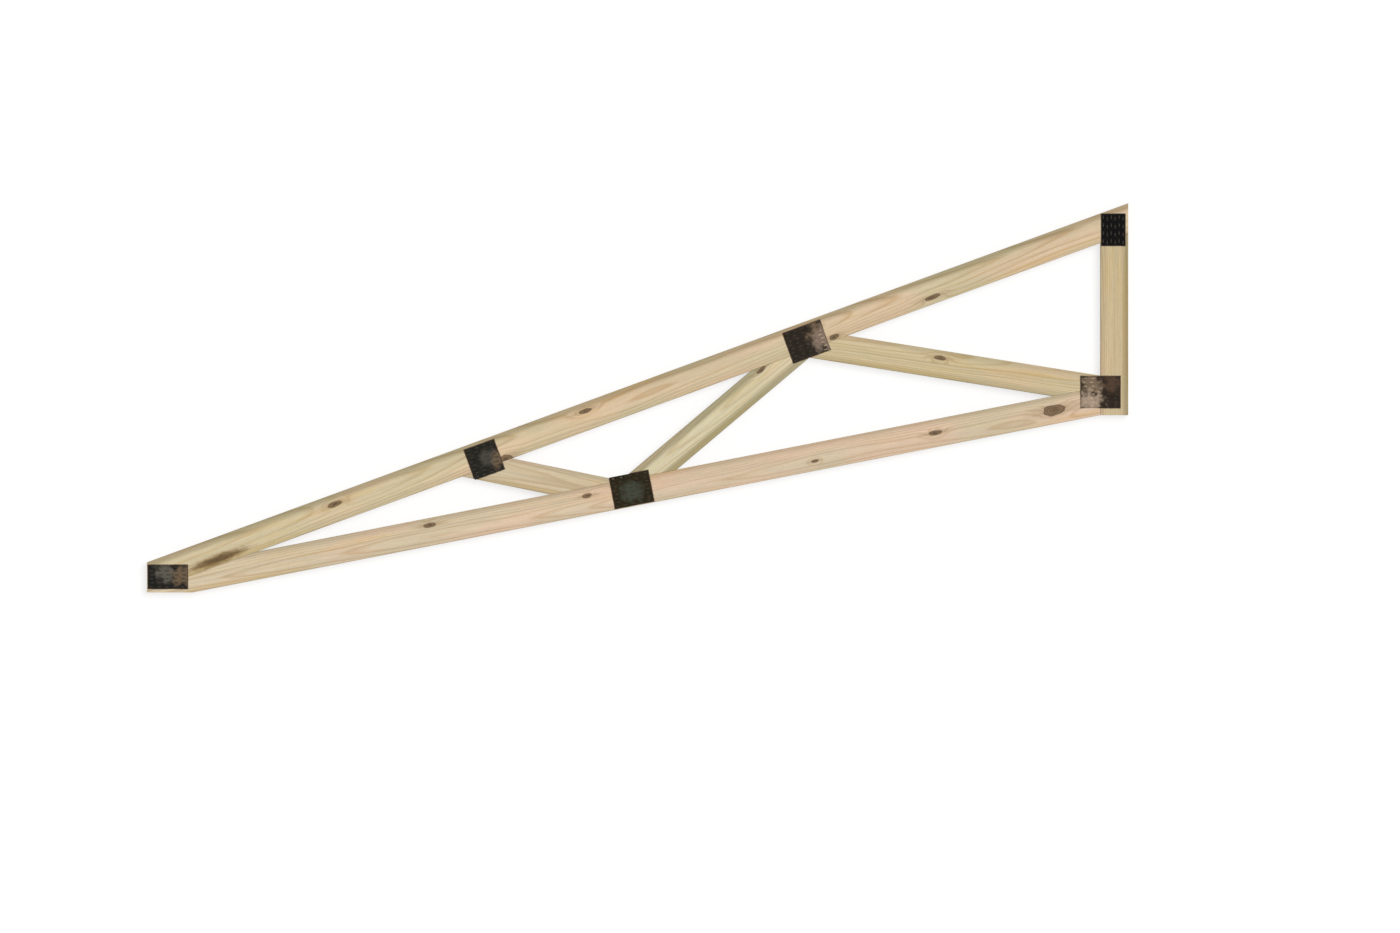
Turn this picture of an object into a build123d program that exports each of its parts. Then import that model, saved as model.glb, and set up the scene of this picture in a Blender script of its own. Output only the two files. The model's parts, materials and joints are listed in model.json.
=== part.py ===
from build123d import *
from math import cos, hypot, radians, tan
import os

os.makedirs("parts", exist_ok=True)

# Half-scissors roof truss, lying flat: X along the span, Y up the truss, Z through its thickness.
# All sizes in millimetres and degrees. The bearing of the heel is at the low end, the post at the high end.

# Outline of the truss
span = 3140.0
top_pitch = 20.1
bottom_pitch = 11.05
seat_length = 145.0
butt_cut = 2.0

# Planed two-by-four lumber with eased edges
lumber_depth = 89.0
lumber_thickness = 38.0
arris_radius = 3.0

# Where the webs leave the chords, measured along the span from the heel
heel_web_top = 1168.0
lower_joint = 1516.0
middle_web_top = 1931.0
post_web_top = 2242.0
post_web_bearing = 36.0

# Toothed steel plates, one on each face of every joint
plate_thickness = 1.0
plate_setback = 3.0
heel_plate_length = 127.0
heel_plate_width = 76.2
heel_plate_height = 12.0
heel_web_plate_length = 101.6
heel_web_plate_width = 101.6
lower_joint_plate_length = 127.0
lower_joint_plate_width = 101.6
lower_joint_plate_shift = 28.0
upper_joint_plate_length = 127.0
upper_joint_plate_width = 101.6
upper_plate_bite = 24.0
lower_plate_bite = 16.0
peak_plate_length = 101.6
peak_plate_width = 76.2
bearing_plate_length = 127.0
bearing_plate_width = 101.6
bearing_plate_height = 23.0

# Each slot is punched out into two teeth, one at each end
slot_pitch = 25.4
row_pitch = 12.7
row_stagger = 5.0
slot_length = 15.0
slot_width = 3.2
tooth_length = 7.0

# A line in the plane of the truss is its height at the heel and its slope
top_slope = tan(radians(top_pitch))
bottom_slope = tan(radians(bottom_pitch))
post_face = span - lumber_depth
saw_overrun = 2 * lumber_depth
middle = plate_thickness + lumber_thickness / 2


def height(line, along):
    return line[0] + line[1] * along


def lowered(line, depth):
    """The line a given depth below another, measured square to it."""
    return (line[0] - depth * hypot(1, line[1]), line[1])


def through(start, end):
    slope = (end[1] - start[1]) / (end[0] - start[0])
    return (start[1] - slope * start[0], slope)


def crossing(one, two):
    """How far from the heel two lines cross."""
    return (two[0] - one[0]) / (one[1] - two[1])


# The top chord's underside starts at the butt cut, the bottom chord's underside at the end of its seat
top_underside = (butt_cut, top_slope)
top_edge = lowered(top_underside, -lumber_depth)
bottom_underside = (-seat_length * bottom_slope, bottom_slope)
bottom_edge = lowered(bottom_underside, -lumber_depth)
peak_height = height(top_edge, span)
post_foot = height(bottom_underside, post_face)

# Upper edges of the three webs
lower_tip = (lower_joint, height(bottom_edge, lower_joint))
heel_web_edge = through((heel_web_top, height(top_underside, heel_web_top)), lower_tip)
middle_web_edge = through(lower_tip, (middle_web_top, height(top_underside, middle_web_top)))
post_web_edge = through(
    (post_web_top, height(top_underside, post_web_top)),
    (post_face, height(bottom_edge, post_face) + post_web_bearing),
)
middle_web_underside = lowered(middle_web_edge, lumber_depth)
post_web_underside = lowered(post_web_edge, lumber_depth)
upper_joint = crossing(middle_web_underside, post_web_underside)


def spot(along, up, z=middle):
    """A point of the truss, with the model's origin under the centre of its outline."""
    return Vector(along - span / 2, up - peak_height / 2, z)


def direction(line):
    return Vector(1, line[1], 0).normalized()


def cut_above(line):
    """A saw cut along a line: the waste is above it."""
    return Plane(origin=spot(0, line[0]), z_dir=Vector(-line[1], 1, 0))


def plumb_cut(along):
    """An upright saw cut: the waste is beyond it, seen from the heel."""
    return Plane(origin=spot(along, 0), z_dir=Vector(1, 0, 0))


def level_cut(up):
    return Plane(origin=spot(0, up), z_dir=Vector(0, 1, 0))


def start_of(line, along):
    """The section plane of a board whose upper edge is the line, at a place along the span."""
    run = direction(line)
    return Plane(
        origin=spot(along, height(line, along)) - run * saw_overrun,
        x_dir=Vector(-run.Y, run.X, 0),
        z_dir=run,
    )


def length_of(line, first, last):
    """The length of a board between two places along the span, with waste at both ends."""
    return (last - first) * hypot(1, line[1]) + 2 * saw_overrun


# The top chord runs unbroken from the heel over the post, with plumb cuts at both ends
with BuildPart() as top_chord:
    with BuildSketch(start_of(top_edge, 0)):
        RectangleRounded(lumber_depth, lumber_thickness, arris_radius, align=(Align.MAX, Align.CENTER))
    extrude(amount=length_of(top_edge, 0, span))
    split(bisect_by=plumb_cut(0), keep=Keep.TOP)
    split(bisect_by=plumb_cut(span), keep=Keep.BOTTOM)
top_chord.part.label = "top_chord"

# The bottom chord has a level seat at the heel, a scarf under the top chord and a plumb end at the post
with BuildPart() as bottom_chord:
    with BuildSketch(start_of(bottom_edge, 0)):
        RectangleRounded(lumber_depth, lumber_thickness, arris_radius, align=(Align.MAX, Align.CENTER))
    extrude(amount=length_of(bottom_edge, 0, span))
    split(bisect_by=plumb_cut(0), keep=Keep.TOP)
    split(bisect_by=level_cut(0), keep=Keep.TOP)
    split(bisect_by=cut_above(top_underside), keep=Keep.BOTTOM)
    split(bisect_by=plumb_cut(post_face), keep=Keep.BOTTOM)
bottom_chord.part.label = "bottom_chord"

# The post stands at the high end, level at the foot and bevelled under the top chord
with BuildPart() as end_post:
    with BuildSketch(Plane(origin=spot(span, post_foot), x_dir=(1, 0, 0), z_dir=(0, 1, 0))):
        RectangleRounded(lumber_depth, lumber_thickness, arris_radius, align=(Align.MAX, Align.CENTER))
    extrude(amount=peak_height - post_foot)
    split(bisect_by=cut_above(top_underside), keep=Keep.BOTTOM)
end_post.part.label = "end_post"

# The heel web slopes down from the top chord to the tip that it shares with the middle web
with BuildPart() as heel_web:
    with BuildSketch(start_of(heel_web_edge, heel_web_top)):
        RectangleRounded(lumber_depth, lumber_thickness, arris_radius, align=(Align.MAX, Align.CENTER))
    extrude(amount=length_of(heel_web_edge, heel_web_top, lower_joint))
    split(bisect_by=cut_above(top_underside), keep=Keep.BOTTOM)
    split(bisect_by=cut_above(bottom_edge), keep=Keep.TOP)
heel_web.part.label = "heel_web"

# The middle web climbs to the top chord and has a second, plumb cut against the post web
with BuildPart() as middle_web:
    with BuildSketch(start_of(middle_web_edge, lower_joint)):
        RectangleRounded(lumber_depth, lumber_thickness, arris_radius, align=(Align.MAX, Align.CENTER))
    extrude(amount=length_of(middle_web_edge, lower_joint, upper_joint))
    split(bisect_by=cut_above(bottom_edge), keep=Keep.TOP)
    split(bisect_by=cut_above(top_underside), keep=Keep.BOTTOM)
    split(bisect_by=plumb_cut(upper_joint), keep=Keep.BOTTOM)
middle_web.part.label = "middle_web"

# The post web runs down into the corner between the bottom chord and the post
with BuildPart() as post_web:
    with BuildSketch(start_of(post_web_edge, upper_joint)):
        RectangleRounded(lumber_depth, lumber_thickness, arris_radius, align=(Align.MAX, Align.CENTER))
    extrude(amount=length_of(post_web_edge, upper_joint, post_face))
    split(bisect_by=plumb_cut(upper_joint), keep=Keep.TOP)
    split(bisect_by=cut_above(top_underside), keep=Keep.BOTTOM)
    split(bisect_by=cut_above(bottom_edge), keep=Keep.TOP)
    split(bisect_by=plumb_cut(post_face), keep=Keep.BOTTOM)
post_web.part.label = "post_web"

for member in (top_chord, bottom_chord, end_post, heel_web, middle_web, post_web):
    export_step(member.part, f"parts/{member.part.label}.step")


def nail_plate(face, length, width):
    """A plate lying on a face of the wood, punched into rows of slots whose teeth go into the wood."""
    columns = round(length / slot_pitch)
    row_pairs = round(width / (2 * row_pitch))
    with BuildPart(face) as plate:
        with BuildSketch(face):
            Rectangle(length, width)
            with Locations((row_stagger / 2, row_pitch / 2), (-row_stagger / 2, -row_pitch / 2)):
                with GridLocations(slot_pitch, 2 * row_pitch, columns, row_pairs):
                    Rectangle(slot_length - 2 * plate_thickness, slot_width, mode=Mode.SUBTRACT)
        extrude(amount=plate_thickness)
        with Locations((row_stagger / 2, row_pitch / 2), (-row_stagger / 2, -row_pitch / 2)):
            with GridLocations(slot_pitch, 2 * row_pitch, columns, row_pairs):
                with PolarLocations(slot_length / 2 - plate_thickness, 2):
                    Wedge(
                        plate_thickness,
                        tooth_length,
                        slot_width,
                        0,
                        slot_width / 2,
                        0,
                        slot_width / 2,
                        rotation=(-90, 0, 0),
                        align=(Align.MIN, Align.MIN, Align.CENTER),
                    )
    return plate


def beside(line, along, offset):
    """The point a given distance above a line, measured square to it from a place along the span."""
    run = direction(line)
    return spot(along, height(line, along)) + Vector(-run.Y, run.X, 0) * offset


def pair_of_plates(name, centre, run, length, width):
    """The plates pressed into both faces of a joint, with their length along the run."""
    for side, z, outward in (("front", plate_thickness + lumber_thickness, 1), ("back", plate_thickness, -1)):
        face = Plane(origin=(centre.X, centre.Y, z), x_dir=run, z_dir=(0, 0, outward))
        plate = nail_plate(face, length, width)
        plate.part.label = f"{name}_{side}"
        export_step(plate.part, f"parts/{plate.part.label}.step")


pair_of_plates(
    "heel_plate",
    spot(plate_setback + heel_plate_length / 2, heel_plate_height + heel_plate_width / 2),
    (1, 0, 0),
    heel_plate_length,
    heel_plate_width,
)

heel_web_low_corner = crossing(lowered(heel_web_edge, lumber_depth), top_underside)
pair_of_plates(
    "heel_web_plate",
    beside(top_underside, (heel_web_top + heel_web_low_corner) / 2, heel_web_plate_width / 2 - upper_plate_bite),
    direction(top_underside),
    heel_web_plate_length,
    heel_web_plate_width,
)

pair_of_plates(
    "lower_joint_plate",
    beside(
        bottom_edge,
        lower_joint + lower_joint_plate_shift,
        lower_plate_bite - lower_joint_plate_width / 2,
    ),
    direction(bottom_edge),
    lower_joint_plate_length,
    lower_joint_plate_width,
)

pair_of_plates(
    "upper_joint_plate",
    beside(top_underside, upper_joint, upper_joint_plate_width / 2 - upper_plate_bite),
    direction(top_underside),
    upper_joint_plate_length,
    upper_joint_plate_width,
)

peak_plate_side = post_face + plate_setback
peak_plate_top = height(top_edge, peak_plate_side) - plate_setback
pair_of_plates(
    "peak_plate",
    spot(peak_plate_side + peak_plate_width / 2, peak_plate_top - peak_plate_length / 2),
    (0, 1, 0),
    peak_plate_length,
    peak_plate_width,
)

pair_of_plates(
    "bearing_plate",
    spot(post_face, post_foot + bearing_plate_height + bearing_plate_width / 2),
    (1, 0, 0),
    bearing_plate_length,
    bearing_plate_width,
)
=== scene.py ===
import json
import math
from collections import namedtuple

import bmesh
import bpy
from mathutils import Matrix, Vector


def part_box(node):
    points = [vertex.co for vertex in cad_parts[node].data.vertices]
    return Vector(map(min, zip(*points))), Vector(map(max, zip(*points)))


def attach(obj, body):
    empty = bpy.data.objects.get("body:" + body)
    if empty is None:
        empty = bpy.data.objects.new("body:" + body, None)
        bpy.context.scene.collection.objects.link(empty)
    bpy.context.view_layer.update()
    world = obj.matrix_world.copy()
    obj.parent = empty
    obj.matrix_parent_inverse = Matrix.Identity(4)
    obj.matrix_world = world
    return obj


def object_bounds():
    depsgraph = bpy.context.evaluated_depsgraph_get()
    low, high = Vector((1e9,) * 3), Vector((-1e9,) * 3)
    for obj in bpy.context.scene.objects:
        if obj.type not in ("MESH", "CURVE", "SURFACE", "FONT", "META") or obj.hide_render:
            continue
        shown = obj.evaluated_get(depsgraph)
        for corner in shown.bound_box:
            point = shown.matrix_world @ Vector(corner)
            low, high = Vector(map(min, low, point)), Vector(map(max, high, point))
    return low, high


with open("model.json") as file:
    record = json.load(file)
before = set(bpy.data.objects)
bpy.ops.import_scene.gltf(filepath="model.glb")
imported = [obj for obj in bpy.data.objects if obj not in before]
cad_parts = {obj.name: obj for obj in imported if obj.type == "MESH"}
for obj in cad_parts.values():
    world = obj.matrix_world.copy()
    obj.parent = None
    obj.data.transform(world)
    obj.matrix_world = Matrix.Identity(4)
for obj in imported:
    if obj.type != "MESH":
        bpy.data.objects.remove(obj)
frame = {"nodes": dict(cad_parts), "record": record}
CAD_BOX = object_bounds()

# The picture's frame, and how the truss lies in it
IMAGE_WIDTH = 1400
IMAGE_HEIGHT = 933
HEEL_PIXEL = (147.0, 592.5)
METRES_PER_PIXEL = 0.0032
CAMERA_DISTANCE = 40.0
SENSOR_WIDTH = 36.0

# Light
WORLD_LIGHT = 0.5
SUN_STRENGTH = 1.75
SUN_TILT = math.radians(26)
SUN_TURN = math.radians(125)
SUN_SOFTNESS = math.radians(35)

# The floor: its size, how far it lies below the truss, its colour for the light that bounces off it, and
# for the camera a glow and a darker colour beside it, which takes the truss's shadow
FLOOR_SIZE = 120.0
FLOOR_DROP = 0.0002
FLOOR_COLOUR = 0.8
FLOOR_GLOW = 0.72
FLOOR_SHADED = 0.30

# The plate with slots over the gap between two webs, where the floor lies behind them, and over how many
# metres the floor's glow stops under it, which paints a shadow on the floor there
OPEN_PLATE = "lower_joint_plate"
GLOW_FADE = 0.0002

# The boards: mean colour, where the log's centre lay (across and through the board, from its middle),
# how far apart the growth rings are, how fast they run out along the board, how grey painted shade makes
# the upper and the lower edge, and how wide that band of painted shade is
BOARDS = {
    "top_chord": {
        "tint": (0.650, 0.535, 0.368),
        "pith": (0.012, -0.062),
        "rings": 0.0042,
        "taper": 0.013,
        "edges": (1.1, 0.25),
        "band": 0.030,
    },
    "bottom_chord": {
        "tint": (0.665, 0.535, 0.400),
        "pith": (-0.016, 0.058),
        "rings": 0.0046,
        "taper": -0.011,
        "edges": (0.55, 0.20),
        "band": 0.022,
    },
    "end_post": {
        "tint": (0.610, 0.485, 0.318),
        "pith": (0.052, -0.040),
        "rings": 0.0036,
        "taper": 0.009,
        "edges": (0.30, 0.95),
        "band": 0.026,
    },
    "heel_web": {
        "tint": (0.620, 0.500, 0.362),
        "pith": (-0.006, -0.055),
        "rings": 0.0040,
        "taper": 0.016,
        "edges": (0.40, 0.40),
        "band": 0.022,
    },
    "middle_web": {
        "tint": (0.680, 0.590, 0.425),
        "pith": (0.004, 0.070),
        "rings": 0.0044,
        "taper": -0.014,
        "edges": (1.7, 1.5),
        "band": 0.032,
    },
    "post_web": {
        "tint": (0.615, 0.500, 0.330),
        "pith": (0.030, -0.066),
        "rings": 0.0038,
        "taper": 0.012,
        "edges": (0.40, 0.45),
        "band": 0.022,
    },
}

# Knots, by where they show in the picture, with their length and width on the board in metres
KNOTS = {
    "top_chord": (
        ((335, 504), 0.048, 0.016),
        ((506, 459), 0.044, 0.028),
        ((585, 411), 0.042, 0.014),
        ((834, 337), 0.032, 0.016),
        ((933, 297), 0.048, 0.016),
    ),
    "bottom_chord": (
        ((430, 525), 0.039, 0.015),
        ((587, 496), 0.031, 0.014),
        ((815, 461), 0.022, 0.010),
        ((935, 433), 0.040, 0.015),
        ((1054, 410), 0.072, 0.032),
    ),
    "middle_web": (((761, 370), 0.033, 0.013),),
    "post_web": (((940, 358), 0.037, 0.014),),
    "heel_web": (),
    "end_post": (),
}

# Tones of the steel where it isn't black
WORN = (0.122, 0.112, 0.090)
SMOKY = (0.068, 0.066, 0.054)
BROWN = (0.165, 0.115, 0.068)
RUSTY = (0.095, 0.058, 0.036)
TAN = (0.230, 0.165, 0.110)
DIRT = (0.250, 0.183, 0.142)
# A pale pinkish tone, on the lower part of the bearing plate
PALE_PINK = (0.450, 0.340, 0.250)
GREENISH = (0.060, 0.067, 0.046)

# The pale ones, under which the wood is stained and shaded less
PALE_TONES = (TAN, DIRT, PALE_PINK)

# The plates: the edge of the truss that each one follows, the colour of its blackened steel, how rusty
# it is, and the patches on it, by where they show in the picture, with their radius in metres
PLATES = {
    "heel_plate": {
        "along": "heel_bearing",
        "steel": (0.010, 0.010, 0.009),
        "rust": 1.0,
        "patches": (((165, 572), 0.028, WORN), ((182, 576), 0.026, BROWN)),
    },
    "heel_web_plate": {
        "along": "roof_deck_edge",
        "steel": (0.014, 0.014, 0.010),
        "rust": 1.0,
        "patches": (((488, 457), 0.022, SMOKY), ((502, 459), 0.026, BROWN)),
    },
    "lower_joint_plate": {
        "along": "ceiling_edge",
        "steel": (0.018, 0.014, 0.005),
        "rust": 1.0,
        "patches": (((631, 492), 0.030, GREENISH),),
    },
    "upper_joint_plate": {
        "along": "roof_deck_edge",
        "steel": (0.020, 0.015, 0.010),
        "rust": 1.0,
        "patches": (((818, 332), 0.028, BROWN), ((826, 339), 0.035, DIRT)),
    },
    "peak_plate": {
        "along": "post_outer_face",
        "steel": (0.002, 0.002, 0.002),
        "rust": 0.25,
        "patches": (),
    },
    "bearing_plate": {
        "along": "heel_bearing",
        "steel": (0.022, 0.015, 0.010),
        "rust": 1.0,
        "patches": (
            ((1111, 383), 0.022, RUSTY),
            ((1091, 384), 0.028, TAN),
            ((1090, 403), 0.033, PALE_PINK),
        ),
    },
}
SIDES = ("front", "back")

# The plates that stain each board and paint shade on it, and the boards that the seam's streak of painted
# shade crosses
PLATE_BOARDS = {
    "top_chord": ("heel_plate", "heel_web_plate", "upper_joint_plate", "peak_plate"),
    "bottom_chord": ("heel_plate", "lower_joint_plate", "bearing_plate"),
    "end_post": ("peak_plate", "bearing_plate"),
    "heel_web": ("heel_web_plate", "lower_joint_plate"),
    "middle_web": ("lower_joint_plate", "upper_joint_plate"),
    "post_web": ("upper_joint_plate", "bearing_plate"),
}
SEAM_BOARDS = ("top_chord", "bottom_chord")

# Tints that multiply a board's own colour
PEACH = (1.09, 1.015, 0.985)
OLIVE = (0.985, 1.015, 0.955)
RESIN = (1.00, 0.93, 0.74)
LATEWOOD = (0.76, 0.65, 0.50)
PORES = (0.52, 0.40, 0.28)
# The grey of the painted shade along a board's edges
EDGE_SHADE = (0.60, 0.60, 0.54)
END_GRAIN = (0.70, 0.64, 0.56)

# How strongly some of them show
RESIN_STRENGTH = 0.8
LATEWOOD_STRENGTH = 0.80
PORE_STRENGTH = 0.4
END_GRAIN_STRENGTH = 0.8

# Where these parts of the wood's look fade in, from nothing to full
MOTTLE_FADE = (0.36, 0.62)
RESIN_FADE = (0.56, 0.72)
PORE_FADE = (0.62, 0.72)
CRACK_FADE = (0.56, 0.66)
END_GRAIN_FADE = (0.25, 0.85)

# The noises in the wood: how fast each changes along and across the grain, its detail and roughness
GRAIN = {
    "ragged": (45.0, 110.0, 4.0, 0.6),
    "lumps": (28.0, 60.0, 1.0, 0.5),
    "fibre": (16.0, 620.0, 4.0, 0.65),
    "hair": (38.0, 2100.0, 3.0, 0.7),
    "pores": (90.0, 1300.0, 2.0, 0.5),
    "cracks": (55.0, 520.0, 3.0, 0.5),
    "streaks": (1.3, 90.0, 3.0, 0.5),
    "mottle": (3.1, 13.0, 2.0, 0.5),
    "resin": (1.9, 34.0, 2.0, 0.5),
    "wander": (1.1, 7.0, 2.0, 0.5),
}

# How far some of those noises swing the colour to both sides
FIBRE_SWING = 0.24
HAIR_SWING = 0.22
STREAK_SWING = 0.18

# The edges greyed by painted shade: the share of the band that is grey all through, and how much the
# streaks break it up
EDGE_SOLID = 0.15
EDGE_SWING = 0.9

# Growth rings: how dark the wood is from the start of a year to its end, how much the years differ and
# how dark the palest is at least, how fast a year changes along the board and by which detail and
# roughness, and how far the rings wander, in metres
RING_PROFILE = ((0.0, 0.12), (0.5, 0.10), (0.86, 1.0), (1.0, 0.20))
YEAR_CONTRAST = 1.5
YEAR_LEAST = 0.1
YEAR_CHANGE = 0.7
YEAR_NOISE = (1.0, 0.5)
RING_WANDER = 0.030

# Knots swell the rings round them: by how many metres at the centre, and how fast that dies away
# outward. They lean along the board, by this share of the depth
KNOT_BULGE = 0.011
KNOT_FALLOFF = 0.35
KNOT_LEAN = 0.45

# A border is roughened by two noises: the weight of each, and a shift
KNOT_BORDER = (0.7, 0.35, -0.52)
HALO_BORDER = (1.1, 0.8, -0.95)
SEAM_BORDER = (1.5, 0.9, -1.2)
PATCH_BORDER = (2.0, 1.4, -1.7)

# The parts of a knot: colour, where each fades in on the way to the centre, with 1 at the knot's edge,
# and how strong it is. The halo is drawn out along the grain, and the rim fades out again farther in
KNOT_HALO = (0.37, 0.25, 0.130)
KNOT_HALO_SHAPE = (0.36, 0.80, 1.0)
KNOT_HALO_FADE = (1.35, 0.2)
KNOT_HALO_STRENGTH = 0.6
KNOT_HEART = (0.140, 0.080, 0.036)
KNOT_HEART_FADE = (1.14, 0.76)
KNOT_HEART_STRENGTH = 0.85
KNOT_BARK = (0.060, 0.034, 0.016)
KNOT_RIM_FADE = (1.10, 0.96)
KNOT_RIM_END = (0.78, 0.92)
KNOT_RIM_STRENGTH = 0.7
KNOT_PITH_FADE = (0.55, 0.05)
KNOT_PITH_STRENGTH = 0.6
KNOT_CRACK = (0.022, 0.013, 0.008)
KNOT_CRACK_STRENGTH = 0.8

# The rings in a knot: how many radians of them lie between its centre and its edge, how much they
# lighten and darken it, and how light it is between the two
KNOT_RINGS = 26.0
KNOT_RING_CONTRAST = 0.4
KNOT_RING_MEAN = 1.05

# Farther from every knot than anything reaches
NO_KNOT = 9.0

# The dark streak in the seam of the heel, a painted shade of the gap between the chords: its ends in the
# picture, its width in metres, and its parts as in a knot. Its heart is strongest in the cracks
SEAM_PIXELS = ((190, 570), (245, 549))
SEAM_WIDTH = 0.030
SEAM_SHADE = (0.190, 0.105, 0.022)
SEAM_SHADE_FADE = (1.5, 0.6)
SEAM_SHADE_STRENGTH = 0.85
SEAM_HEART = (0.045, 0.023, 0.006)
SEAM_HEART_FADE = (0.95, 0.2)
SEAM_HEART_LEAST = 0.6
SEAM_HEART_CRACKS = 0.4

# The stain and painted shade on the wood's face under the plates, which shows in their slots, and the
# painted
# contact shadow beside them: its strength and how much of it pale steel takes away, how far it spreads
# beside a plate, in metres, and how unevenly, and how deep it goes
PLATE_STAIN_AND_SHADE = (0.022, 0.015, 0.010)
STAIN_AND_SHADE_STRENGTH = 0.98
STAIN_AND_SHADE_LOSS = 0.85
STAIN_AND_SHADE_SPREAD = 0.0035
STAIN_AND_SHADE_SWING = 0.9
STAIN_AND_SHADE_DEPTH = 0.0025

# The wood's surface: its relief in metres, and what adds to it and to its roughness
WOOD_RELIEF = 0.00025
LATE_RELIEF = 0.5
FIBRE_RELIEF = 0.8
HAIR_RELIEF = 0.35
WOOD_ROUGHNESS = 0.52
FIBRE_ROUGHNESS = 0.22
WOOD_GLOSS = 0.25

# The noises in the steel: how fast each changes, its detail and roughness
COARSE = (70.0, 4.0, 0.6)
FINE = (420.0, 3.0, 0.6)
BLOTCH = (38.0, 1.5, 0.4)
COARSE_SWING = 0.7
FINE_SWING = 0.5

# A patch fades in between these shares of its radius, and this is how strong it is
PATCH_FADE = (1.5, 0.5)
PATCH_STRENGTH = 0.85

# Rust: its colours and how they mix, its specks, and its rim along the cut edges, with a width in metres
RUST_DARK = (0.026, 0.014, 0.009)
RUST_LIGHT = (0.120, 0.058, 0.030)
RUST_FADE = (0.3, 0.7)
SPECK_FADE = (0.33, 0.41)
SPECK_STRENGTH = 0.6
RIM_WIDTH = 0.0022
RIM_STRENGTH = 0.75

# The steel's surface: its relief in metres, what the fine noise adds to it, and its roughness, by weights
# of the dull places and the fine noise and with the least last
STEEL_RELIEF = 0.00012
FINE_RELIEF = 0.6
STEEL_ROUGHNESS = (0.3, 0.25, 0.4)
STEEL_GLOSS = 0.06
STEEL_METALLIC = 0.18

# Softened edges, in metres
BOARD_BEVEL = 0.0004
BOARD_BEVEL_STEPS = 2
PLATE_BEVEL = 0.0002
PLATE_BEVEL_STEPS = 1
SHARP_ANGLE = math.radians(35)
WELD_DISTANCE = 1e-6

# The rolled roots of the teeth, at the ends of the plates' slots, and how finely the ends are told apart
ROW_PITCH = 0.0127
SLOT_WIDTH = 0.0032
SLOT_DIGITS = 4
ROOT_ROLL = 0.0009
ROOT_DEPTH = 0.001
ROOT_STEPS = 4

# The most that still counts: the gap of points that touch, the height of a narrow face's normal, and how
# far a plumb run leans
TOUCHING = 1e-5
NARROW = 0.1
PLUMB = 1e-3

# The sockets of a colour mixing node, which has others of the same names
MIX_FACTOR = 0
MIX_FIRST = 6
MIX_SECOND = 7
MIX_RESULT = 2

LOW, HIGH = (Vector(corner) for corner in CAD_BOX)
FACE_HEIGHT = HIGH.z
Board = namedtuple("Board", "origin turn depth thickness")
Plate = namedtuple("Plate", "centre turn half")


def from_picture(pixel):
    """The point of the truss's face that shows at a pixel."""
    x = LOW.x + (pixel[0] - HEEL_PIXEL[0]) * METRES_PER_PIXEL
    y = LOW.y + (HEEL_PIXEL[1] - pixel[1]) * METRES_PER_PIXEL
    return Vector((x, y, FACE_HEIGHT))


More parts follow.
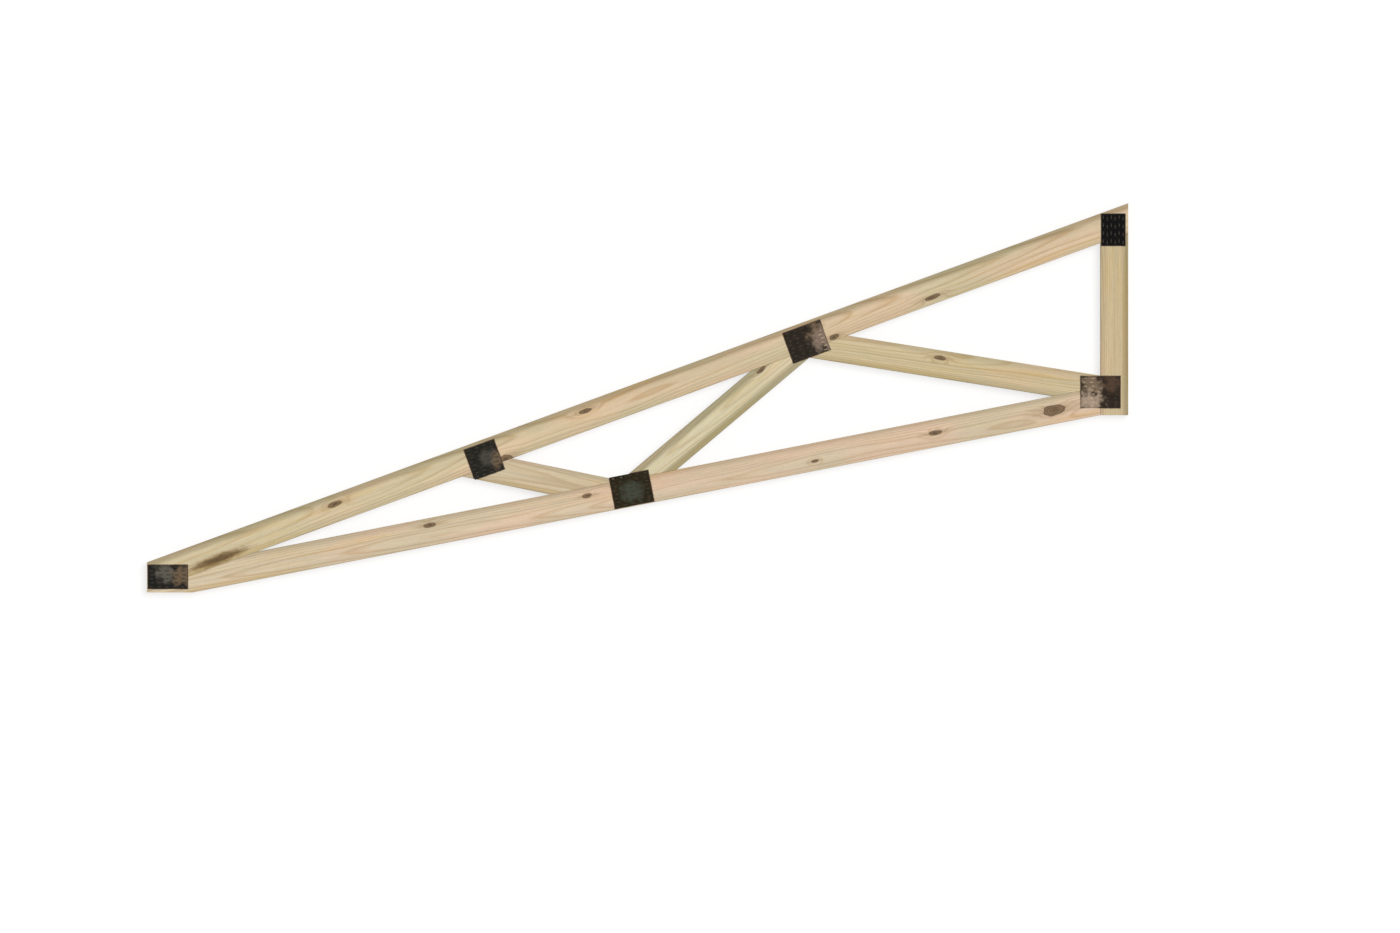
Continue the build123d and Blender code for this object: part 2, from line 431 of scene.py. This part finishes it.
class Graph:
    """Adds nodes to a material or to the world and links them."""

    def __init__(self, owner):
        self.owner = owner
        owner.use_nodes = True
        self.tree = owner.node_tree
        self.tree.nodes.clear()

    def node(self, kind, **settings):
        node = self.tree.nodes.new(kind)
        for key, value in settings.items():
            setattr(node, key, value)
        return node

    def put(self, socket, value):
        if isinstance(value, bpy.types.NodeSocket):
            self.tree.links.new(value, socket)
        else:
            socket.default_value = value

    def math(self, operation, *values, clamp=False):
        node = self.node("ShaderNodeMath", operation=operation, use_clamp=clamp)
        for socket, value in zip(node.inputs, values):
            self.put(socket, value)
        return node.outputs[0]

    def vector(self, operation, *values):
        node = self.node("ShaderNodeVectorMath", operation=operation)
        for socket, value in zip(node.inputs, values):
            self.put(socket, value)
        return node.outputs["Value" if operation in ("LENGTH", "DOT_PRODUCT") else "Vector"]

    def combine(self, x, y, z):
        node = self.node("ShaderNodeCombineXYZ")
        for socket, value in zip(node.inputs, (x, y, z)):
            self.put(socket, value)
        return node.outputs[0]

    def split(self, vector):
        node = self.node("ShaderNodeSeparateXYZ")
        self.put(node.inputs[0], vector)
        return node.outputs

    def noise(self, vector, detail, roughness):
        node = self.node("ShaderNodeTexNoise")
        self.put(node.inputs["Vector"], vector)
        node.inputs["Scale"].default_value = 1.0
        node.inputs["Detail"].default_value = detail
        node.inputs["Roughness"].default_value = roughness
        return node.outputs["Fac"]

    def step(self, value, low, high):
        """0 up to low, 1 from high, smooth between them; low may be above high."""
        node = self.node("ShaderNodeMapRange", interpolation_type="SMOOTHSTEP")
        self.put(node.inputs["Value"], value)
        bounds = (low, high, 0.0, 1.0) if low < high else (high, low, 1.0, 0.0)
        for name, bound in zip(("From Min", "From Max", "To Min", "To Max"), bounds):
            node.inputs[name].default_value = bound
        return node.outputs["Result"]

    def weighted(self, first, second, weights):
        """Two values added up by their weights, with the third number added."""
        weight, other_weight, shift = weights
        rest = self.math("MULTIPLY_ADD", second, other_weight, shift)
        return self.math("MULTIPLY_ADD", first, weight, rest)

    def around_one(self, value, swing):
        """A noise value turned into a factor that swings about 1."""
        return self.math("MULTIPLY_ADD", value, 2 * swing, 1.0 - swing)

    def grey(self, value):
        return self.combine(value, value, value)

    def mix(self, factor, first, second):
        node = self.node("ShaderNodeMix", data_type="RGBA")
        self.put(node.inputs[MIX_FACTOR], factor)
        for socket, value in ((MIX_FIRST, first), (MIX_SECOND, second)):
            colour = value if isinstance(value, bpy.types.NodeSocket) else (*value, 1.0)
            self.put(node.inputs[socket], colour)
        return node.outputs[MIX_RESULT]

    def tinted(self, colour, share, tint):
        """A colour multiplied by a tint, as far as the share goes."""
        return self.mix(share, colour, self.vector("MULTIPLY", colour, tint))

    def swung(self, colour, noise, swing):
        """A colour that a noise lightens and darkens."""
        return self.vector("MULTIPLY", colour, self.grey(self.around_one(noise, swing)))

    def ramp(self, factor, *stops):
        node = self.node("ShaderNodeValToRGB")
        self.put(node.inputs[0], factor)
        elements = node.color_ramp.elements
        for place, _ in stops[1:-1]:
            elements.new(place)
        for element, (place, value) in zip(elements, stops):
            element.position = place
            element.color = (value, value, value, 1.0)
        return node.outputs[0]

    def seen(self):
        """1 for what the camera sees, also in a reflection or through glass, and 0 for other light."""
        paths = self.node("ShaderNodeLightPath").outputs
        either = self.math("MAXIMUM", paths["Is Camera Ray"], paths["Is Glossy Ray"])
        return self.math("MAXIMUM", either, paths["Is Transmission Ray"])

    def surface(self, colour, roughness, metallic, gloss, height, depth):
        """The finished material, with its relief given in metres."""
        bump = self.node("ShaderNodeBump")
        bump.inputs["Distance"].default_value = depth
        self.put(bump.inputs["Height"], height)
        shader = self.node("ShaderNodeBsdfPrincipled")
        self.put(shader.inputs["Base Color"], colour)
        self.put(shader.inputs["Roughness"], roughness)
        self.put(shader.inputs["Metallic"], metallic)
        self.put(shader.inputs["Specular IOR Level"], gloss)
        self.put(shader.inputs["Normal"], bump.outputs[0])
        output = self.node("ShaderNodeOutputMaterial")
        self.tree.links.new(shader.outputs[0], output.inputs["Surface"])
        return self.owner


def heading(turn):
    """The direction of a turn in the plan."""
    return Vector((math.cos(turn), math.sin(turn), 0.0))


def left_of(run):
    """The direction square to another in the plan, on its left."""
    return Vector((-run.y, run.x, 0.0))


def run_beside(normal):
    """The direction in which a narrow face runs, to the right or straight up the picture."""
    run = Vector((abs(normal.y), -normal.x if normal.y > 0 else normal.x, 0.0)).normalized()
    return run if run.x > PLUMB else Vector((0.0, 1.0, 0.0))


def board_frame(name):
    """The low end of a board's upper edge, its turn in the plan, its depth and its thickness."""
    mesh = frame["nodes"][name].data
    narrow = [face for face in mesh.polygons if abs(face.normal.z) < NARROW]
    run = run_beside(max(narrow, key=lambda face: face.area).normal)
    up = left_of(run)
    points = [vertex.co for vertex in mesh.vertices]
    start = min(point.dot(run) for point in points)
    top = max(point.dot(up) for point in points)
    foot = min(point.dot(up) for point in points)
    low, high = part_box(name)
    middle = Vector((0.0, 0.0, (low[2] + high[2]) / 2))
    return Board(run * start + up * top + middle, math.atan2(run.y, run.x), top - foot, high[2] - low[2])


def plate_frame(name):
    """The middle of a plate, its turn in the plan, and half its length and width."""
    edge = PLATES[name]["along"]
    mounts = frame["record"]["mounts"]
    run = run_beside(next(Vector(mount["axis"]) for mount in mounts if mount["name"] == edge))
    up = left_of(run)
    points = [vertex.co for vertex in frame["nodes"][f"{name}_front"].data.vertices]
    along = [point.dot(run) for point in points]
    across = [point.dot(up) for point in points]
    centre = run * (min(along) + max(along)) / 2 + up * (min(across) + max(across)) / 2
    half = ((max(along) - min(along)) / 2, (max(across) - min(across)) / 2)
    return Plate(centre, math.atan2(run.y, run.x), half)


def local(graph, origin, turn):
    """The surface point seen from an origin, with X turned in the plan."""
    coordinates = graph.node("ShaderNodeTexCoord")
    mapping = graph.node("ShaderNodeMapping", vector_type="TEXTURE")
    graph.put(mapping.inputs["Vector"], coordinates.outputs["Object"])
    mapping.inputs["Location"].default_value = origin
    mapping.inputs["Rotation"].default_value = (0.0, 0.0, turn)
    return mapping.outputs[0]


def to_local(point, origin, turn):
    """How far a point of the frame lies along and across, seen from an origin."""
    offset = point - origin
    run = heading(turn)
    return offset.dot(run), offset.dot(left_of(run))


def grain_noise(graph, place, kind):
    """One of the wood's noises, drawn out along the grain."""
    along, across, detail, roughness = GRAIN[kind]
    return graph.noise(graph.vector("MULTIPLY", place, (along, across, across)), detail, roughness)


def knot_distances(graph, place, knots, board):
    """How far the nearest knot is, and its halo, which is drawn out along the grain; 1 is its edge."""
    s, t, z = graph.split(place)
    near, wide = NO_KNOT, NO_KNOT
    for pixel, length, width in knots:
        along, across = to_local(from_picture(pixel), board.origin, board.turn)
        lean = graph.math("MULTIPLY_ADD", z, -KNOT_LEAN, KNOT_LEAN * board.thickness / 2 - along)
        x = graph.math("MULTIPLY", graph.math("ADD", s, lean), 2 / length)
        y = graph.math("MULTIPLY", graph.math("SUBTRACT", t, across), 2 / width)
        offset = graph.combine(x, y, 0.0)
        halo = graph.vector("MULTIPLY", offset, KNOT_HALO_SHAPE)
        near = graph.math("MINIMUM", graph.vector("LENGTH", offset), near)
        wide = graph.math("MINIMUM", graph.vector("LENGTH", halo), wide)
    return near, wide


def ring_count(graph, place, look, depth, near, wander):
    """The point's distance from the log's centre in growth rings, swelling round the knots."""
    s, t, z = graph.split(place)
    across, through = look["pith"]
    u = graph.math("ADD", t, depth / 2 - across)
    w = graph.math("SUBTRACT", z, through)
    radius = graph.vector("LENGTH", graph.combine(u, w, 0.0))
    wander = graph.math("MULTIPLY_ADD", wander, RING_WANDER, -RING_WANDER / 2)
    drift = graph.math("MULTIPLY_ADD", s, look["taper"], wander)
    square = graph.math("MULTIPLY", near, near)
    pull = graph.math("EXPONENT", graph.math("MULTIPLY", square, -KNOT_FALLOFF))
    bulge = graph.math("MULTIPLY", pull, KNOT_BULGE)
    total = graph.math("ADD", graph.math("ADD", radius, drift), bulge)
    return graph.math("DIVIDE", total, look["rings"])


def latewood(graph, place, rings):
    """How dark the growth ring is at the point, which differs from year to year."""
    s, _, _ = graph.split(place)
    late = graph.ramp(graph.math("FRACT", rings), *RING_PROFILE)
    year = graph.combine(graph.math("FLOOR", rings), graph.math("MULTIPLY", s, YEAR_CHANGE), 0.0)
    year = graph.math("MULTIPLY_ADD", graph.noise(year, *YEAR_NOISE), YEAR_CONTRAST, YEAR_LEAST)
    return graph.math("MULTIPLY", late, year, clamp=True)


def clear_wood(graph, tint, late, noises):
    """Wood without knots or stains: peach and olive places, resin, growth rings, fibres and pores."""
    colour = graph.mix(
        graph.step(noises["mottle"], *MOTTLE_FADE),
        tuple(part * gain for part, gain in zip(tint, PEACH)),
        tuple(part * gain for part, gain in zip(tint, OLIVE)),
    )
    resin = graph.step(noises["resin"], *RESIN_FADE)
    pores = graph.step(noises["pores"], *PORE_FADE)
    colour = graph.tinted(colour, graph.math("MULTIPLY", resin, RESIN_STRENGTH), RESIN)
    colour = graph.tinted(colour, graph.math("MULTIPLY", late, LATEWOOD_STRENGTH), LATEWOOD)
    colour = graph.swung(colour, noises["fibre"], FIBRE_SWING)
    colour = graph.swung(colour, noises["hair"], HAIR_SWING)
    colour = graph.tinted(colour, graph.math("MULTIPLY", pores, PORE_STRENGTH), PORES)
    return graph.swung(colour, noises["streaks"], STREAK_SWING)


def with_shaded_edge_bands(graph, colour, place, depth, look, streaks):
    """Painted shade, greying the wood along the two narrow edges of a board."""
    _, t, _ = graph.split(place)
    upper, lower = look["edges"]
    inner, outer = look["band"], look["band"] * EDGE_SOLID
    upper = graph.math("MULTIPLY", graph.step(t, -inner, -outer), upper)
    lower = graph.math("MULTIPLY", graph.step(t, inner - depth, outer - depth), lower)
    bands = graph.math("MAXIMUM", upper, lower)
    share = graph.math("MULTIPLY", bands, graph.around_one(streaks, EDGE_SWING), clamp=True)
    return graph.tinted(colour, share, EDGE_SHADE)


def with_knots(graph, colour, near, wide, cracks):
    """Brown knots with rings, a dark core and rim, fine cracks and a halo drawn out along the grain."""
    halo = graph.step(wide, *KNOT_HALO_FADE)
    heart = graph.step(near, *KNOT_HEART_FADE)
    rim = graph.math("MULTIPLY", graph.step(near, *KNOT_RIM_FADE), graph.step(near, *KNOT_RIM_END))
    pith = graph.step(near, *KNOT_PITH_FADE)
    split = graph.math("MULTIPLY", heart, cracks)
    swirl = graph.math("SINE", graph.math("MULTIPLY", near, KNOT_RINGS))
    light = graph.math("MULTIPLY_ADD", swirl, KNOT_RING_CONTRAST, KNOT_RING_MEAN)
    core = graph.vector("MULTIPLY", KNOT_HEART, graph.grey(light))
    layers = (
        (halo, KNOT_HALO_STRENGTH, KNOT_HALO),
        (heart, KNOT_HEART_STRENGTH, core),
        (rim, KNOT_RIM_STRENGTH, KNOT_BARK),
        (pith, KNOT_PITH_STRENGTH, KNOT_BARK),
        (split, KNOT_CRACK_STRENGTH, KNOT_CRACK),
    )
    for share, strength, layer in layers:
        colour = graph.mix(graph.math("MULTIPLY", share, strength), colour, layer)
    return colour


def with_seam_shade(graph, colour, noises, cracks):
    """The long dark streak over the seam of the heel, painted shade of the gap between the chords."""
    start, end = (from_picture(pixel) for pixel in SEAM_PIXELS)
    run = end - start
    x, y, _ = graph.split(local(graph, (start + end) / 2, math.atan2(run.y, run.x)))
    x = graph.math("MULTIPLY", x, 2 / run.length)
    y = graph.math("MULTIPLY", y, 2 / SEAM_WIDTH)
    distance = graph.vector("LENGTH", graph.combine(x, y, 0.0))
    distance = graph.math("ADD", distance, graph.weighted(noises["fibre"], noises["ragged"], SEAM_BORDER))
    darkening = graph.math("MULTIPLY", graph.step(distance, *SEAM_SHADE_FADE), SEAM_SHADE_STRENGTH)
    cracked = graph.math("MULTIPLY_ADD", cracks, SEAM_HEART_CRACKS, SEAM_HEART_LEAST)
    heart = graph.math("MULTIPLY", graph.step(distance, *SEAM_HEART_FADE), cracked)
    return graph.mix(heart, graph.mix(darkening, colour, SEAM_SHADE), SEAM_HEART)


def patch(graph, pixel, radius, ragged):
    """1 at a spot of the picture, fading to 0 round its radius, with a ragged edge."""
    coordinates = graph.node("ShaderNodeTexCoord").outputs["Object"]
    offset = graph.vector("SUBTRACT", coordinates, from_picture(pixel))
    flat = graph.vector("MULTIPLY", offset, (1.0, 1.0, 0.0))
    distance = graph.math("ADD", graph.vector("LENGTH", flat), graph.math("MULTIPLY", ragged, radius))
    return graph.step(distance, *(radius * share for share in PATCH_FADE))


def outside_plate(graph, name):
    """How far the point is outside a plate's outline in the plan, 0 over or under the plate."""
    plate = plate_frame(name)
    x, y, _ = graph.split(graph.vector("ABSOLUTE", local(graph, plate.centre, plate.turn)))
    over_x = graph.math("MAXIMUM", graph.math("SUBTRACT", x, plate.half[0]), 0.0)
    over_y = graph.math("MAXIMUM", graph.math("SUBTRACT", y, plate.half[1]), 0.0)
    return graph.vector("LENGTH", graph.combine(over_x, over_y, 0.0))


def with_plate_stain_and_shade(graph, colour, name, place, thickness, ragged):
    """Stain and painted shade on the wood's face under a plate, seen in its slots, fading out beside it
    as a painted contact shadow, and paler under pale steel.
    """
    _, _, z = graph.split(place)
    face = thickness / 2
    swing = graph.around_one(ragged, STAIN_AND_SHADE_SWING)
    # Painted contact shadow beside the plate, and stain with painted shade under it
    beside = graph.step(graph.math("MULTIPLY", outside_plate(graph, name), swing), STAIN_AND_SHADE_SPREAD, 0.0)
    shallow = graph.step(graph.math("ABSOLUTE", z), face - STAIN_AND_SHADE_DEPTH, face)
    darkening = graph.math("MULTIPLY", beside, shallow)
    for pixel, radius, tone in PLATES[name]["patches"]:
        if tone in PALE_TONES:
            pale = patch(graph, pixel, radius, 0.0)
            darkening = graph.math("MULTIPLY", darkening, graph.math("MULTIPLY_ADD", pale, -STAIN_AND_SHADE_LOSS, 1.0))
    return graph.mix(graph.math("MULTIPLY", darkening, STAIN_AND_SHADE_STRENGTH), colour, PLATE_STAIN_AND_SHADE)


def with_end_grain(graph, colour, turn):
    """Darker wood on the sawn ends."""
    normal = graph.node("ShaderNodeTexCoord").outputs["Normal"]
    facing = graph.math("ABSOLUTE", graph.vector("DOT_PRODUCT", normal, heading(turn)))
    share = graph.math("MULTIPLY", graph.step(facing, *END_GRAIN_FADE), END_GRAIN_STRENGTH)
    return graph.tinted(colour, share, END_GRAIN)


def wood(name):
    """Planed softwood: growth rings round the log's centre, fibres, knots, stains and darker ends, and
    painted shade in the seam, along the edges and under and beside the plates.
    """
    look = BOARDS[name]
    board = board_frame(name)
    graph = Graph(bpy.data.materials.new(f"wood_{name}"))
    place = local(graph, board.origin, board.turn)
    noises = {kind: grain_noise(graph, place, kind) for kind in GRAIN}
    ragged, fibre = noises["ragged"], noises["fibre"]
    cracks = graph.step(noises["cracks"], *CRACK_FADE)

    near, wide = knot_distances(graph, place, KNOTS[name], board)
    near = graph.math("ADD", near, graph.weighted(noises["lumps"], ragged, KNOT_BORDER))
    wide = graph.math("ADD", wide, graph.weighted(fibre, ragged, HALO_BORDER))
    rings = ring_count(graph, place, look, board.depth, near, noises["wander"])
    late = latewood(graph, place, rings)

    colour = clear_wood(graph, look["tint"], late, noises)
    colour = with_shaded_edge_bands(graph, colour, place, board.depth, look, noises["streaks"])
    colour = with_knots(graph, colour, near, wide, cracks)
    # Painted shade in the seam between the two chords
    if name in SEAM_BOARDS:
        colour = with_seam_shade(graph, colour, noises, cracks)
    for plate in PLATE_BOARDS[name]:
        colour = with_plate_stain_and_shade(graph, colour, plate, place, board.thickness, ragged)
    colour = with_end_grain(graph, colour, board.turn)

    relief = graph.weighted(late, fibre, (LATE_RELIEF, FIBRE_RELIEF, 0.0))
    relief = graph.math("MULTIPLY_ADD", noises["hair"], HAIR_RELIEF, relief)
    roughness = graph.math("MULTIPLY_ADD", fibre, FIBRE_ROUGHNESS, WOOD_ROUGHNESS)
    return graph.surface(colour, roughness, 0.0, WOOD_GLOSS, relief, WOOD_RELIEF)


def steel_noise(graph, place, scale, detail, roughness):
    """One of the steel's noises, alike in all directions."""
    return graph.noise(graph.vector("MULTIPLY", place, (scale, scale, scale)), detail, roughness)


def plate_rim(graph, place, half, ragged):
    """1 at a plate's cut edges, fading to 0 a little way inside them, with a ragged border."""
    x, y, _ = graph.split(graph.vector("ABSOLUTE", place))
    from_end = graph.math("SUBTRACT", half[0], x)
    from_side = graph.math("SUBTRACT", half[1], y)
    inside = graph.math("MINIMUM", from_end, from_side)
    return graph.step(graph.math("MULTIPLY_ADD", ragged, RIM_WIDTH, inside), RIM_WIDTH, 0.0)


def steel(name):
    """Blackened, weathered steel with worn and brown places, specks of rust and rusty cut edges."""
    look = PLATES[name]
    plate = plate_frame(name)
    graph = Graph(bpy.data.materials.new(f"steel_{name}"))
    place = local(graph, plate.centre, plate.turn)
    coarse, fine, blotch = (steel_noise(graph, place, *kind) for kind in (COARSE, FINE, BLOTCH))
    ragged = graph.weighted(blotch, coarse, PATCH_BORDER)

    colour = graph.swung(look["steel"], coarse, COARSE_SWING)
    dull = 0.0
    for pixel, radius, tone in look["patches"]:
        spot = graph.math("MULTIPLY", patch(graph, pixel, radius, ragged), PATCH_STRENGTH)
        colour = graph.mix(spot, colour, graph.swung(tone, fine, FINE_SWING))
        dull = graph.math("MAXIMUM", spot, dull)

    specks = graph.step(graph.math("MULTIPLY", coarse, fine), *SPECK_FADE)
    specks = graph.math("MULTIPLY", specks, SPECK_STRENGTH)
    rim = graph.math("MULTIPLY", plate_rim(graph, place, plate.half, ragged), RIM_STRENGTH)
    rusty = graph.math("MULTIPLY", graph.math("MAXIMUM", specks, rim), look["rust"])
    rust = graph.mix(graph.step(fine, *RUST_FADE), RUST_DARK, RUST_LIGHT)
    colour = graph.mix(rusty, colour, rust)
    dull = graph.math("MAXIMUM", rusty, dull)

    roughness = graph.weighted(dull, fine, STEEL_ROUGHNESS)
    metallic = graph.math("MULTIPLY_ADD", dull, -STEEL_METALLIC, STEEL_METALLIC)
    relief = graph.math("MULTIPLY_ADD", fine, FINE_RELIEF, graph.math("MULTIPLY", dull, coarse))
    return graph.surface(colour, roughness, metallic, STEEL_GLOSS, relief, STEEL_RELIEF)


def slots_of(name, side):
    """Both ends of each of a plate's slots, and how far the slot lies across the plate.

    The rows lie midway between whole pitches from the plate's middle, so a whole number tells them apart.
    """
    plate = plate_frame(name)
    low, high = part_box(f"{name}_{side}")
    tip_height = low[2] if side == "front" else high[2]
    points = [vertex.co for vertex in frame["nodes"][f"{name}_{side}"].data.vertices]
    tips = set()
    for point in points:
        if abs(point.z - tip_height) < TOUCHING:
            along, across = to_local(point, plate.centre, plate.turn)
            tips.add((math.floor(across / ROW_PITCH), round(along, SLOT_DIGITS)))
    tips = sorted(tips)
    pairs = zip(tips[::2], tips[1::2])
    return [(start, end, (row + 0.5) * ROW_PITCH) for (row, start), (_, end) in pairs]


def root_profile():
    """The rolled edge of a tooth's root: how far into the slot, and how deep below the plate's face."""
    arc = [math.radians(90) * step / ROOT_STEPS for step in range(ROOT_STEPS + 1)]
    curve = [(ROOT_ROLL * math.sin(angle), ROOT_ROLL * (1 - math.cos(angle))) for angle in arc]
    return curve + [(ROOT_ROLL, ROOT_DEPTH), (0.0, ROOT_DEPTH)]


def roots_mesh(name, side):
    """The rolled steel at both ends of every slot of a plate, as prisms of the root's profile."""
    plate = plate_frame(name)
    run = heading(plate.turn)
    up = left_of(run)
    face, inward = (HIGH.z, -1) if side == "front" else (LOW.z, 1)
    profile = root_profile()
    count = len(profile)
    points, faces = [], []
    for start, end, across in slots_of(name, side):
        for along, into in ((start, 1), (end, -1)):
            base = len(points)
            for edge in (-SLOT_WIDTH / 2, SLOT_WIDTH / 2):
                for reach, depth in profile:
                    place = plate.centre + run * (along + into * reach) + up * (across + edge)
                    points.append((place.x, place.y, face + inward * depth))
            ring = range(base, base + count)
            for here in ring:
                after = base + (here - base + 1) % count
                faces.append((here, after, after + count, here + count))
            faces.append(tuple(ring))
            faces.append(tuple(point + count for point in reversed(ring)))
    mesh = bpy.data.meshes.new(f"{name}_{side}_tooth_roots")
    mesh.from_pydata(points, [], faces)
    return mesh


def face_outward(mesh):
    """Turns a closed mesh's faces outward."""
    work = bmesh.new()
    work.from_mesh(mesh)
    bmesh.ops.recalc_face_normals(work, faces=work.faces)
    work.to_mesh(mesh)
    work.free()


def add_tooth_roots(name, side, material):
    """The roots of a plate's teeth, where they turn down into the wood."""
    mesh = roots_mesh(name, side)
    mesh.materials.append(material)
    face_outward(mesh)
    piece = bpy.data.objects.new(mesh.name, mesh)
    bpy.context.scene.collection.objects.link(piece)
    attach(piece, "root")


def soften(node, width, segments):
    """Rounds a node's sharp edges a little, so that they catch the light."""
    weld = node.modifiers.new("weld", "WELD")
    weld.merge_threshold = WELD_DISTANCE
    bevel = node.modifiers.new("bevel", "BEVEL")
    bevel.width = width
    bevel.segments = segments
    bevel.limit_method = "ANGLE"
    bevel.angle_limit = SHARP_ANGLE


def dress_boards():
    """Gives each board its own wood and softened edges."""
    for name in BOARDS:
        node = frame["nodes"][name]
        node.material_slots[0].material = wood(name)
        soften(node, BOARD_BEVEL, BOARD_BEVEL_STEPS)


def dress_plates():
    """Gives both plates of each joint its steel, softened edges and the roots of their teeth."""
    for name in PLATES:
        material = steel(name)
        for side in SIDES:
            node = frame["nodes"][f"{name}_{side}"]
            node.material_slots[0].material = material
            soften(node, PLATE_BEVEL, PLATE_BEVEL_STEPS)
            add_tooth_roots(name, side, material)


def floor_material():
    """Pale, and white to the camera but for the truss's shadow and a painted shadow under the open plate.
    """
    graph = Graph(bpy.data.materials.new("floor"))
    plain = graph.node("ShaderNodeBsdfDiffuse")
    plain.inputs["Color"].default_value = (FLOOR_COLOUR, FLOOR_COLOUR, FLOOR_COLOUR, 1.0)
    shaded = graph.node("ShaderNodeBsdfDiffuse")
    shaded.inputs["Color"].default_value = (FLOOR_SHADED, FLOOR_SHADED, FLOOR_SHADED, 1.0)
    glow = graph.node("ShaderNodeEmission")
    # Painted shadow: no glow under the open plate, so the floor seen through its slots is dark
    beside = graph.step(outside_plate(graph, OPEN_PLATE), 0.0, GLOW_FADE)
    graph.put(glow.inputs["Strength"], graph.math("MULTIPLY", beside, FLOOR_GLOW))
    both = graph.node("ShaderNodeAddShader")
    graph.put(both.inputs[0], shaded.outputs[0])
    graph.put(both.inputs[1], glow.outputs[0])
    either = graph.node("ShaderNodeMixShader")
    graph.put(either.inputs[0], graph.seen())
    graph.put(either.inputs[1], plain.outputs[0])
    graph.put(either.inputs[2], both.outputs[0])
    output = graph.node("ShaderNodeOutputMaterial")
    graph.put(output.inputs["Surface"], either.outputs[0])
    return graph.owner


def add_floor():
    """The pale floor, just below the truss."""
    bpy.ops.mesh.primitive_plane_add(size=FLOOR_SIZE, location=(0.0, 0.0, LOW.z - FLOOR_DROP))
    floor = bpy.context.object
    floor.name = "floor"
    floor.data.materials.append(floor_material())


def add_sky():
    """An even white sky, which lights the truss less than it shows to the camera."""
    graph = Graph(bpy.data.worlds.new("sky"))
    background = graph.node("ShaderNodeBackground")
    background.inputs["Color"].default_value = (1.0, 1.0, 1.0, 1.0)
    strength = graph.math("MULTIPLY_ADD", graph.seen(), 1.0 - WORLD_LIGHT, WORLD_LIGHT)
    graph.put(background.inputs["Strength"], strength)
    output = graph.node("ShaderNodeOutputWorld")
    graph.put(output.inputs["Surface"], background.outputs[0])
    bpy.context.scene.world = graph.owner


def add_lamp():
    """One soft lamp from the upper left."""
    lamp = bpy.data.lights.new("sun", "SUN")
    lamp.energy = SUN_STRENGTH
    lamp.angle = SUN_SOFTNESS
    sun = bpy.data.objects.new("sun", lamp)
    sun.rotation_euler = (SUN_TILT, 0.0, SUN_TURN)
    bpy.context.scene.collection.objects.link(sun)


def add_camera():
    """A long lens far above, looking straight down on the truss, with the picture's own framing."""
    centre = from_picture((IMAGE_WIDTH / 2, IMAGE_HEIGHT / 2))
    data = bpy.data.cameras.new("camera")
    data.sensor_fit = "HORIZONTAL"
    data.sensor_width = SENSOR_WIDTH
    data.lens = SENSOR_WIDTH * CAMERA_DISTANCE / (IMAGE_WIDTH * METRES_PER_PIXEL)
    data.clip_end = 3 * CAMERA_DISTANCE
    camera = bpy.data.objects.new("camera", data)
    camera.location = centre + Vector((0.0, 0.0, CAMERA_DISTANCE))
    bpy.context.scene.collection.objects.link(camera)
    bpy.context.scene.camera = camera


dress_boards()
dress_plates()
add_floor()
add_sky()
add_lamp()
add_camera()
bpy.context.scene.view_settings.view_transform = "Standard"
